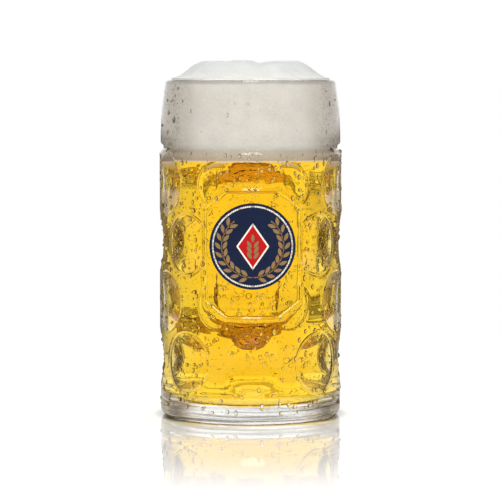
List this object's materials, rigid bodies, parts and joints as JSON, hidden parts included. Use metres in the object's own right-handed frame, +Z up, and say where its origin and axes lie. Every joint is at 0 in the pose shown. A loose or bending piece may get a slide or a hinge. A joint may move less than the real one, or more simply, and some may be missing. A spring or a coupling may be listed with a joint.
{
  "type": "beer mug",
  "caption": "Thick dimpled glass mug with a loop handle and a plain front panel that carries a round print, full of golden beer under a crown of white foam.",
  "frame": {"origin": "on the mug's axis, in the plane of the ring that it stands on", "axes": "+Z up along the mug's axis, -Y out of the front panel with the print, +Y towards the handle"},
  "size_m": [0.1086, 0.1527, 0.2114],
  "materials": {
    "pressed_glass": "fire-polished clear soda-lime glass",
    "lager": "clear golden lager",
    "froth": "fine white froth",
    "navy_enamel": "fired screen print",
    "cream_enamel": "fired screen print",
    "red_enamel": "fired screen print",
    "gold_enamel": "fired screen print"
  },
  "bodies": {
    "root": {"mug_body": "pressed_glass", "handle": "pressed_glass", "beer": "lager", "foam_head": "froth", "badge_ground": "navy_enamel", "badge_lines": "cream_enamel", "badge_lozenge": "red_enamel", "badge_barley": "gold_enamel"}
  },
  "joints": []
}
